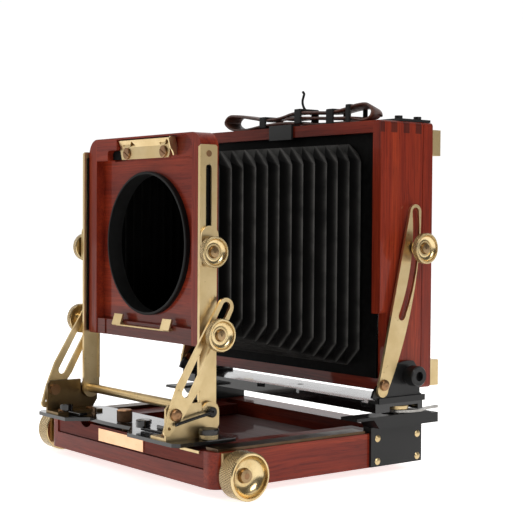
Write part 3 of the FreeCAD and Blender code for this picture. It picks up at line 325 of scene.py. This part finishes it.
def bellows_cloth(name):
    """Black coated cloth: the ridges, marked by a value on the mesh, are grey from rubbing and carry a
    painted highlight; the same value paints light on the little upper corner triangles.
    """
    s = Shader(name)
    wear_and_painted_light = s.add("ShaderNodeAttribute", attribute_name="wear_and_painted_light").outputs["Fac"]
    weave = s.noise(s.place, scale=1600.0, detail=2.0)
    cloud = s.noise(s.place, scale=90.0, detail=4.0)
    body = s.mix(s.ramp(cloud, (0.4, 0.0), (0.7, 0.6)), (0.0022, 0.0022, 0.0022), (0.0045, 0.0042, 0.004))
    # grey on the ridges, partly rubbing and partly a painted highlight, plus painted light on the upper
    # corner triangles
    rub_and_painted_light = s.math("MULTIPLY", s.math("POWER", wear_and_painted_light, 7.0), s.ramp(cloud, (0.3, 0.35), (0.6, 1.0)))
    s.join(s.mix(rub_and_painted_light, body, (0.05, 0.049, 0.047)), s.surface.inputs["Base Color"])
    s.join(s.ramp(weave, (0.3, 0.72), (0.7, 0.58)), s.surface.inputs["Roughness"])
    s.join(s.bump(weave, 0.00008, 0.4), s.surface.inputs["Normal"])
    return s.set(Specular_IOR_Level=0.04)


def matt_black(name, shine=0.05):
    s = Shader(name)
    cloud = s.noise(s.place, scale=300.0, detail=4.0)
    tone = s.ramp(cloud, (0.35, (0.002, 0.002, 0.002)), (0.7, (0.0045, 0.0045, 0.0045)))
    s.join(tone, s.surface.inputs["Base Color"])
    s.join(s.bump(cloud, 0.0001, 0.3), s.surface.inputs["Normal"])
    return s.set(Roughness=0.6, Specular_IOR_Level=shine)


def ground_glass(name):
    s = Shader(name)
    frost = s.noise(s.place, scale=2500.0, detail=2.0)
    s.join(s.bump(frost, 0.00005, 0.4), s.surface.inputs["Normal"])
    tone = s.ramp(frost, (0.3, (0.78, 0.82, 0.81)), (0.7, (0.86, 0.89, 0.88)))
    s.join(tone, s.surface.inputs["Base Color"])
    return s.set(Roughness=0.45, Transmission_Weight=0.75, IOR=1.5)


def paint(material, *nodes):
    """Puts the material in every slot of the frame's nodes."""
    for name in nodes:
        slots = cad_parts[name].data.materials
        for i in range(max(1, len(slots))):
            if i < len(slots):
                slots[i] = material
            else:
                slots.append(material)


# half widths beyond which the wood of each frame is a stile, with upright grain
LENS_STILE, BED_STILE, BOX_STILE, BACK_STILE, SCREEN_STILE = 0.048, 0.0743, 0.0835, 0.0625, 0.060
ANYWHERE = -1.0
BOARD_FOOT = 0.0779
# the floor of the slide's hollow gets a painted shade: darker wood within these bounds
HOLLOW_SHADE = (0.0541, back(20), 0.0125)
BOX_JOINT = (0.0893, 0.1837, 0.0092)
paint(wood("wood_lens_frame", LENS_STILE, dark_below=(LENS_STILE, ANYWHERE, BOARD_FOOT)), "lens_frame")
paint(wood("wood_bed", BED_STILE, "y"), "bed_frame")
paint(wood("wood_slide", shade=0.75, dark_below=HOLLOW_SHADE, coat=0.12), "slide_plate")
paint(wood("wood_box", BOX_STILE, joint=BOX_JOINT), "rear_box")
paint(wood("wood_back", BACK_STILE), "back_frame")
paint(wood("wood_screen", SCREEN_STILE), "screen_frame")

satin = brass("brass_satin")
paint(satin, "upright_left", "upright_right", "front_struts", "rear_struts", "pressure_plates", "back_clips")
# the left bracket gets a painted shade, its brass darker at negative X
paint(brass("brass_brushed_y", (0.58, 0.45, 0.25), brushed="y", left=0.35), "front_brackets")
paint(brass("bronze_rails", (0.10, 0.065, 0.04), 0.34, "y"), "bed_rails")
paint(brass("brass_brushed_x", brushed="x"), "cross_tube", "board_rests", "board_latch", "knob_escutcheons",
      "side_plate_screws", "swing_wheel_left", "swing_wheel_right", "tripod_bush", "gear_racks")
bronze = brass("bronze_screws", (0.30, 0.17, 0.09), 0.34, "x")
paint(bronze, "bracket_screws", "rear_strut_screws", "latch_screws", "pinion_shaft")
paint(brass("copper_plate", (0.93, 0.58, 0.36), 0.34, "x", 0.3), "name_plate")


def middle_of(node):
    """The (Y, Z) of a node's axis along X."""
    low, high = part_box(node)
    return ((low.y + high.y) / 2, (low.z + high.z) / 2)


# each pair of knobs: the boss's radius, and the knurling's count, pitch and radius
for kind, boss, knurl in (("focus", 0.0040, (64, 0.0024, 0.0121)), ("strut", 0.0034, (56, 0.0018, 0.0084)),
                          ("rise", 0.0034, (54, 0.0018, 0.0080)), ("rear", 0.0034, (54, 0.0018, 0.0082))):
    left, right = kind + "_knob_left", kind + "_knob_right"
    paint(turned_brass("brass_" + kind + "_knob", middle_of(right), boss, knurl), left, right)


def across_of(node):
    """The (X, Y) of a node's upright axis."""
    low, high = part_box(node)
    return ((low.x + high.x) / 2, (low.y + high.y) / 2)


paint(two_part("copper_topped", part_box("front_lock_knob")[1].z - 0.5 * MM, ((0.10, 0.055, 0.03), 0.4, 1.0),
               ((0.80, 0.43, 0.22), 0.35, 1.0), across_of("front_lock_knob")), "front_lock_knob")
paint(two_part("black_topped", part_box("side_lock_knob")[1].z - 3.0 * MM, ((0.66, 0.515, 0.285), 0.3, 1.0),
               ((0.008, 0.008, 0.0085), 0.25, 0.0), across_of("side_lock_knob")), "side_lock_knob")

black = enamel("black_enamel", (0.004, 0.004, 0.0042), gloss=0.1)
paint(black, "front_swing_plate", "rear_swing_plate")
satin_black = enamel("satin_black", (0.004, 0.004, 0.0042), 0.42, 0.3, 0.12)
paint(satin_black, "side_plates", "rear_bases", "pivot_post", "tilt_caps", "rear_brackets", "box_pivot_bolts",
      "bed_catch", "back_release")
paint(steel("brushed_steel"), "swing_lever", "back_springs")
paint(matt_black("matt_black", 0.2), "lens_ring")
paint(ground_glass("frosted_glass"), "ground_glass")


# --- new pieces -----------------------------------------------------------------------------------------

def piece(name, verts, faces, material, body=None, smooth=False):
    """A mesh object from its points and faces."""
    mesh = bpy.data.meshes.new(name)
    mesh.from_pydata([tuple(v) for v in verts], [], [tuple(f) for f in faces])
    mesh.validate()
    if smooth:
        mesh.polygons.foreach_set("use_smooth", [True] * len(mesh.polygons))
    mesh.materials.append(material)
    thing = bpy.data.objects.new(name, mesh)
    bpy.context.scene.collection.objects.link(thing)
    if body:
        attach(thing, body)
    return thing


def skin(rings, sides, capped=True):
    """The faces of a tube through that many rings of points, with a face over each end if capped."""
    faces = []
    for i in range(rings - 1):
        for j in range(sides):
            a, b = i * sides + j, i * sides + (j + 1) % sides
            faces.append((a, b, b + sides, a + sides))
    if capped:
        faces.append(tuple(reversed(range(sides))))
        faces.append(tuple(range((rings - 1) * sides, rings * sides)))
    return faces


def modify(thing, kind, **values):
    modifier = thing.modifiers.new(kind.lower(), kind)
    for name, value in values.items():
        setattr(modifier, name, value)
    return modifier


def settle(thing):
    """Applies the modifiers."""
    graph = bpy.context.evaluated_depsgraph_get()
    mesh = bpy.data.meshes.new_from_object(thing.evaluated_get(graph))
    thing.modifiers.clear()
    thing.data = mesh
    return thing


# The bellows: every section is pleated cloth; each row gives its frame node, the two bodies it lies between,
# and its number of folds.
cloth = bellows_cloth("bellows_cloth")
SECTIONS = [
    ("bellows_1", "rear_standard", "bellows_undo_tilt", 2),
    ("bellows_2", "bellows_undo_tilt", "bellows_undo_swing", 2),
    ("bellows_3", "bellows_undo_swing", "bellows_focus_rear", 2),
    ("bellows_4", "bellows_focus_rear", "bellows_focus_front", 1),
    ("bellows_5", "bellows_focus_front", "bellows_front_swing", 2),
    ("bellows_6", "bellows_front_swing", "bellows_front_tilt", 3),
    ("bellows_7", "bellows_front_tilt", "bellows_front_rise", 1)]
FOLDS = sum(folds for *_, folds in SECTIONS)
rear_low, rear_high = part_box("bellows_1")
rear_end = rear_high.y
front_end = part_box("bellows_7")[0].y
PLEAT = 5.2 * MM
CORNER = 9.5 * MM
VALLEY_CORNER = CORNER * 0.12
RIDGE = 0.35 * MM
# the front opening's outer ridges: half width, bottom and top
FRONT_HALF, FRONT_FLOOR, FRONT_ROOF = 50.0 * MM, 78.0 * MM, 171.0 * MM
# how much painted light each of a ring's eight points gets: the top points at the two upper corners, whose
# little triangles face up
CORNER_LIGHT = (0.9, 0.0, 0.0, 0.0, 0.0, 0.0, 0.0, 0.9)


def opening(share):
    """Half width, bottom and top of the outer ridges, from the rear (0) to the front (1)."""
    half = rear_high.x + (FRONT_HALF - rear_high.x) * share
    floor = rear_low.z + (FRONT_FLOOR - rear_low.z) * share
    roof = rear_high.z + (FRONT_ROOF - rear_high.z) * share
    return half, floor, roof


def ring(y, share, inset, corner):
    """The eight points of a rectangle with cut corners, clockwise seen from the front."""
    half, floor, roof = opening(share)
    half, floor, roof = half - inset, floor + inset, roof - inset
    points = []
    for sx, sz in ((1, 1), (1, -1), (-1, -1), (-1, 1)):
        edge_z = roof if sz > 0 else floor
        upright = (sx * half, y, edge_z - sz * corner)
        level = (sx * (half - corner), y, edge_z)
        points += [level, upright] if sz * sx > 0 else [upright, level]
    return points


def make_bellows():
    """Every section as folded cloth, from the rear to the front."""
    fold = 0
    pitch = (front_end - rear_end) / FOLDS
    for node, before, after, folds in SECTIONS:
        rings, wear_and_painted_light = [], []
        for k in range(folds):
            start = rear_end + pitch * (fold + k)
            share = (fold + k) / FOLDS
            if k == 0:
                rings.append(ring(start, share, PLEAT, VALLEY_CORNER))
                wear_and_painted_light.append(0.0)
            wobble = 0.25 * MM * sin(2.3 * (fold + k) + 0.7)
            tip = start + pitch * 0.5 + wobble
            tip_share = (fold + k + 0.5) / FOLDS
            for side in (-1, 1):
                rings.append(ring(tip - side * RIDGE, tip_share, 0.0, CORNER))
                wear_and_painted_light.append(1.0)
            rings.append(ring(start + pitch, (fold + k + 1) / FOLDS, PLEAT, VALLEY_CORNER))
            wear_and_painted_light.append(0.0)
        count = len(rings[0])
        verts = [point for r in rings for point in r]
        faces = skin(len(rings), count, capped=False)
        thing = piece("cloth_" + node, verts, faces, cloth)
        mark = thing.data.attributes.new("wear_and_painted_light", "FLOAT", "POINT")
        # the ridges are grey from rubbing and carry a painted highlight, and the little triangles at the
        # upper corners get painted light
        mark.data.foreach_set("value", [w or CORNER_LIGHT[k] for w in wear_and_painted_light for k in range(count)])
        modify(thing, "SOLIDIFY", thickness=0.5 * MM, offset=0.0)
        settle(thing)
        start = rear_end + pitch * fold
        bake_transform(thing)
        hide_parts(node)
        fold += folds


make_bellows()


def slab(name, outline, low, high, axis, material, body, slot=None, bevel=0.0, holes=()):
    """A flat piece: its outline (and holes) in the plane across `axis`, between two heights on it."""
    shape = bmesh.new()

    def spot(a, b, h):
        return {"x": (h, a, b), "y": (a, h, b), "z": (a, b, h)}[axis]

    loops = [list(outline)] + [list(h) for h in holes]
    edges = []
    for loop in loops:
        corners = [shape.verts.new(spot(a, b, low)) for a, b in loop]
        edges += [shape.edges.new((corners[i - 1], corners[i])) for i in range(len(corners))]
    bmesh.ops.triangle_fill(shape, edges=edges, use_beauty=True)
    move = Vector(spot(0, 0, high - low))
    made = bmesh.ops.extrude_face_region(shape, geom=shape.faces[:])
    bmesh.ops.translate(shape, verts=[g for g in made["geom"] if isinstance(g, bmesh.types.BMVert)], vec=move)
    bmesh.ops.recalc_face_normals(shape, faces=shape.faces[:])
    bmesh.ops.dissolve_limit(shape, angle_limit=radians(1), verts=shape.verts[:], edges=shape.edges[:])
    mesh = bpy.data.meshes.new(name)
    shape.to_mesh(mesh)
    shape.free()
    mesh.materials.append(material)
    thing = bpy.data.objects.new(name, mesh)
    bpy.context.scene.collection.objects.link(thing)
    if bevel:
        modify(thing, "BEVEL", width=bevel, segments=2, limit_method="ANGLE", angle_limit=radians(40))
    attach(thing, body)
    return thing


# --- the strap on the box -------------------------------------------------------------------------------

def smooth_path(points, steps):
    """Catmull-Rom points through the given ones; every value of a point is carried along."""
    ends = [points[0]] + list(points) + [points[-1]]
    path = []
    for i in range(1, len(ends) - 2):
        a, b, c, d = ends[i - 1:i + 3]
        for k in range(steps):
            t = k / steps
            path.append([0.5 * (2 * q + (r - p) * t + (2 * p - 5 * q + 4 * r - s) * t * t
                                + (3 * q - p - 3 * r + s) * t ** 3) for p, q, r, s in zip(a, b, c, d)])
    path.append(list(points[-1]))
    return path


def ribbon(name, points, width, thick, material, body, steps=8):
    """A leather band along points of (x, y, z, twist in degrees), in millimetres."""
    path = smooth_path(points, steps)
    places = [Vector(p[:3]) * MM for p in path]
    section = []
    half_w, half_t = width * MM / 2, thick * MM / 2
    around = 16
    for k in range(around):
        angle = 2 * pi * k / around
        c, s = cos(angle), sin(angle)
        grow = 1 / (abs(c) ** 6 + abs(s) ** 6) ** (1 / 6)
        section.append((half_w * c * grow, half_t * s * grow * (1.0 - 0.1 * abs(c))))
    verts = []
    for i, place in enumerate(places):
        way = (places[min(i + 1, len(places) - 1)] - places[max(i - 1, 0)]).normalized()
        turn = Matrix.Rotation(radians(path[i][3]), 3, way)
        flat = turn @ (Vector((0, 1, 0)) - way * way.y).normalized()
        up = way.cross(flat)
        verts += [place + flat * a + up * b for a, b in section]
    return piece(name, verts, skin(len(places), len(section)), material, body, smooth=True)


hide = leather("strap_leather")
box_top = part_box("rear_box")[1].z / MM
middle = 52.5
strap_lower = ribbon("strap_lower", [
    (62, middle, box_top + 1.4, 0), (46, middle, box_top + 1.4, 0), (20, middle + 1, box_top + 1.8, 0),
    (-8, middle, box_top + 3.4, 4), (-30, middle, box_top + 3.2, 0), (-48, middle, box_top + 1.6, 0),
    (-62, middle, box_top + 2.6, 0), (-69, middle, box_top + 6.6, 0), (-65, middle, box_top + 10.8, 0),
    (-55, middle, box_top + 10.4, 0), (-40, middle, box_top + 8.2, 0), (-29, middle, box_top + 6.6, 0),
    (-20, middle + 1, box_top + 7.4, 6), (-12, middle + 1, box_top + 8.6, 10), (-2, middle, box_top + 9.4, 4),
    (6, middle, box_top + 9.4, 0), (20, middle, box_top + 8.6, 0), (34, middle, box_top + 8.0, 0),
    (46, middle, box_top + 9.2, 0), (55, middle, box_top + 10.2, -6), (63, middle, box_top + 9.2, -18),
    (67, middle - 1, box_top + 5.6, -22), (62, middle - 1, box_top + 2.9, -8), (50, middle, box_top + 3.8, 0),
    (36, middle, box_top + 4.4, 0), (20, middle, box_top + 5.4, 0), (6, middle, box_top + 6.2, 0),
    (-8, middle, box_top + 6.2, 0)], 13.0, 1.9, hide, "rear_standard")
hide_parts("carry_strap")


def keeper(name, x, low, high, width=14.6, long=6.0):
    """A leather loop round the folded strap."""
    near, far = middle - width / 2, middle + width / 2
    y0, y1 = near * MM, far * MM
    z0, z1 = (box_top + low) * MM, (box_top + high) * MM
    thick = 1.3 * MM
    outer = [(y0, z0), (y1, z0), (y1, z1), (y0, z1)]
    y2, y3, z2, z3 = y0 + thick, y1 - thick, z0 + thick, z1 - thick
    inner = [(y2, z2), (y3, z2), (y3, z3), (y2, z3)]
    return slab(name, outer, (x - long / 2) * MM, (x + long / 2) * MM, "x", matt_leather, "rear_standard",
                "strap_leather", 0.5 * MM, [inner])


matt_leather = matt_black("black_keeper", 0.3)
keeper("strap_keeper_left", -29.2, 1.6, 8.6)
keeper("strap_keeper_middle", 4.7, 2.6, 11.6)
keeper("strap_keeper_right", 33.9, 0.3, 9.9)
keeper("strap_keeper_end", 49.6, 0.2, 11.6, long=3.4)


def wire(name, points, radius, material, body, steps=6, sides=10):
    """A round wire along points in millimetres."""
    path = [Vector(p) * MM for p in smooth_path(points, steps)]
    verts = []
    side = None
    for i, place in enumerate(path):
        way = (path[min(i + 1, len(path) - 1)] - path[max(i - 1, 0)]).normalized()
        if side is None:
            side = way.orthogonal()
        side = (side - way * side.dot(way)).normalized()
        other = way.cross(side)
        verts += [place + (side * cos(2 * pi * k / sides) + other * sin(2 * pi * k / sides)) * radius * MM
                  for k in range(sides)]
    return piece(name, verts, skin(len(path), sides), material, body, smooth=True)


wire("strap_tie", [
    (3.0, middle + 5.0, box_top + 9.0), (2.2, middle + 1, box_top + 11.8), (1.4, middle, box_top + 14.4),
    (1.0, middle, box_top + 17.0), (2.0, middle, box_top + 19.8), (2.4, middle, box_top + 21.0),
    (1.2, middle, box_top + 22.4)], 0.75, matt_leather, "rear_standard")


# --- small fittings -------------------------------------------------------------------------------------

def rect(a, b):
    """A rectangle's corners between two values of each of its coordinates, in millimetres."""
    return [(a[0], b[0]), (a[1], b[0]), (a[1], b[1]), (a[0], b[1])]


def at_back(points):
    """Millimetre corners whose first value is a distance behind the bed's front face."""
    return [(back(a), b * MM) for a, b in points]


def metres(points):
    return [(a * MM, b * MM) for a, b in points]


# matt black for the box's real black inside, and for the painted shade in the uprights' slots and the latch's
# pocket
dull_black = matt_black("black_lining_and_shade")
box_low, box_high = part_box("rear_box")
# the box's wall with the least gap inside it
WALL = 6.5 + 0.05
LINING = 0.4
inner_half = box_high.x / MM - WALL
inner_low, inner_high = box_low.z / MM + WALL, box_high.z / MM - WALL
box_hole = metres(rect((-inner_half, inner_half), (inner_low, inner_high)))
lining_half = inner_half - LINING
lining_hole = metres(rect((-lining_half, lining_half), (inner_low + LINING, inner_high - LINING)))

# the black board that the bellows is glued to, and the box's black inside
slab("bellows_board", box_hole, back(109.6), back(110.6), "y", dull_black, "rear_standard", "black_paint",
     holes=[metres(rect((-66.0, 66.0), (60.0, 172.0)))])
slab("box_lining", box_hole, back(111.0), back(136.8), "y", dull_black, "rear_standard", "black_paint",
     holes=[lining_hole])

# the rivet's radius
RIVET = 1.7
for side, hand in ((-1, "left"), (1, "right")):
    # the stay from a strut's tail to the cap on the tilt pivot
    stay_x = side * 65.3
    wire("stay_" + hand, [(stay_x, back(-11.2) / MM, 31.7), (stay_x, back(0.0) / MM, 34.0),
                          (stay_x, back(12.6) / MM, 36.2)], 0.85, black, "front_plate")
    # a black strip behind the slot of each upright, painting the shade inside the slot
    strip_x = sorted((side * 56.3 * MM, side * 56.9 * MM))
    slab("upright_slot_shade_" + hand, at_back(rect((9.6, 16.8), (70.5, 171.0))), *strip_x, "x",
         dull_black, "front_standard", "black_paint")
    # a dimpled rivet near the top of each upright
    dimple_x = sorted((side * 59.32 * MM, side * 59.6 * MM))
    rim = [(back(13.2) + RIVET * MM * cos(pi * k / 10), (169.6 + RIVET * sin(pi * k / 10)) * MM)
           for k in range(20)]
    slab("upright_rivet_" + hand, rim, *dimple_x, "x", bronze, "front_uprights", "bronze", 0.1 * MM)


def round_post(name, x, y, low, high, radius, material, body, crown=0.3):
    """An upright turned post, in millimetres, with a bevelled top."""
    profile = [(radius, low), (radius, high - crown), (radius - crown, high)]
    turns = 28
    angles = [2 * pi * k / turns for k in range(turns)]
    verts = [(x * MM + r * MM * cos(angle), back(y) + r * MM * sin(angle), z * MM)
             for r, z in profile for angle in angles]
    return piece(name, verts, skin(len(profile), turns), material, body)


dark_bronze = brass("dark_bronze", (0.085, 0.055, 0.035), 0.3, "z")
round_post("plate_pin", -32.0, -0.2, 23.25, 28.2, 1.1, dark_bronze, "front_plate")
round_post("plate_pin_collar", -32.0, -0.2, 24.8, 25.8, 1.9, dark_bronze, "front_plate", 0.2)
round_post("plate_pin_short", -34.6, 0.8, 23.25, 26.4, 0.9, dark_bronze, "front_plate")

# black levers on the plate, beside each bracket, with a knob on the end
for hand, knob_x, knob_y, arm in (("left", -53.0, -6.5, (-56.0, -37.0)), ("right", 25.0, -4.2, (25.0, 44.0))):
    start, end = (x * MM for x in arm)
    slab("catch_arm_" + hand, [
        (start, back(knob_y - 1.8)), (end, back(knob_y - 0.6)), (end, back(knob_y + 4.6)),
        (start, back(knob_y + 1.8))], 23.5 * MM, 25.0 * MM, "z",
        black, "front_plate", "black_metal", 0.3 * MM)
    round_post("catch_knob_" + hand, knob_x, knob_y, 25.05, 28.8, 3.9,
               black, "front_plate", 0.5)
slab("catch_block", metres(rect((36.5, 44.0), (25.05, 27.6))), back(-3.4), back(1.0), "y",
     black, "front_plate", "black_metal", 0.4 * MM)

# a brass strip let into the slide's front edge, and a black block painting the shade deep in the latch's
# pocket
slab("slide_strip", metres(rect((53.0, 70.0), (16.7, 18.25))), back(0.05), back(0.65), "y",
     satin, "front_slide", "brass", 0.15 * MM)
slab("latch_pocket_shade", metres([(-35.6, 169.2), (-26.6, 169.2), (-26.6, 174.1), (-34.0, 174.1), (-35.6, 172.4)]),
     back(13.9), back(17.2), "y", dull_black, "front_standard", "black_paint")


# --- camera, floor and light ----------------------------------------------------------------------------

heading, pitch, roll = radians(51.94), radians(-1.78), radians(0.38)
look = Vector((-sin(heading) * cos(pitch), cos(heading) * cos(pitch), sin(pitch)))
level = Vector((cos(heading), sin(heading), 0.0))
above = level.cross(look)
right = level * cos(roll) + above * sin(roll)
up = above * cos(roll) - level * sin(roll)
camera = bpy.data.objects.new("camera", bpy.data.cameras.new("camera"))
bpy.context.scene.collection.objects.link(camera)
CAMERA_PLACE = (0.6124, -0.45625, 0.1359)
camera.matrix_world = Matrix.Translation(CAMERA_PLACE) @ Matrix((right, up, -look)).transposed().to_4x4()
camera.data.lens = 90.44
camera.data.sensor_width = 36.0
camera.data.shift_x = -0.0005
camera.data.shift_y = -0.0037
camera.data.clip_start = 0.01
bpy.context.scene.camera = camera

floor_z = cad_box[0][2]
white = Shader("floor_white")
speckle = white.noise(white.place, scale=40.0, detail=3.0)
tone = white.ramp(speckle, (0.3, (0.90, 0.895, 0.885)), (0.7, (0.93, 0.925, 0.92)))
white.join(tone, white.surface.inputs["Base Color"])
white.set(Roughness=0.6, Emission_Color=(1.0, 0.99, 0.975), Emission_Strength=0.78)
FAR = 6
floor_corners = [(-FAR, -FAR, floor_z), (FAR, -FAR, floor_z), (FAR, FAR, floor_z), (-FAR, FAR, floor_z)]
floor = piece("floor", floor_corners, [(0, 1, 2, 3)], white.material)


def lamp(name, place, aim, size, power, colour=(1.0, 1.0, 1.0)):
    data = bpy.data.lights.new(name, "AREA")
    data.shape = "RECTANGLE"
    data.size, data.size_y = size
    data.energy = power
    data.color = colour
    thing = bpy.data.objects.new(name, data)
    thing.location = place
    thing.rotation_euler = (Vector(aim) - Vector(place)).to_track_quat("-Z", "Y").to_euler()
    bpy.context.scene.collection.objects.link(thing)


lamp("softbox_left", (-0.75, -0.95, 0.75), (0, 0, 0.09), (0.9, 0.9), 4.2, (1.0, 0.975, 0.94))
lamp("softbox_right", (1.0, -0.15, 0.75), (0, 0, 0.09), (0.5, 0.5), 6.0, (1.0, 0.98, 0.95))
lamp("softbox_top", (0.0, 0.1, 1.3), (0, 0, 0.1), (1.2, 1.2), 5.0)

world = bpy.data.worlds.new("studio")
bpy.context.scene.world = world
world.use_nodes = True
tree = world.node_tree
sky = tree.nodes["Background"]
where = tree.nodes.new("ShaderNodeTexCoord")
split = tree.nodes.new("ShaderNodeSeparateXYZ")
tree.links.new(where.outputs["Generated"], split.inputs[0])
# the bright backdrop is behind and to the left, and the room in front and to the right is darker
lean = tree.nodes.new("ShaderNodeVectorMath")
lean.operation = "DOT_PRODUCT"
tree.links.new(where.outputs["Generated"], lean.inputs[0])
lean.inputs[1].default_value = (-0.80, 0.60, 0.0)
band = tree.nodes.new("ShaderNodeValToRGB")
tree.links.new(lean.outputs["Value"], band.inputs[0])
for element, (position, grey) in zip(
        [band.color_ramp.elements[0], band.color_ramp.elements[1], band.color_ramp.elements.new(0.3)],
        ((0.0, 0.10), (0.72, 1.0), (0.3, 0.42))):
    element.position = position
    element.color = (grey, grey, grey, 1)
tree.links.new(band.outputs[0], sky.inputs["Color"])
sky.inputs["Strength"].default_value = 1.05
bpy.context.scene.view_settings.view_transform = "Standard"
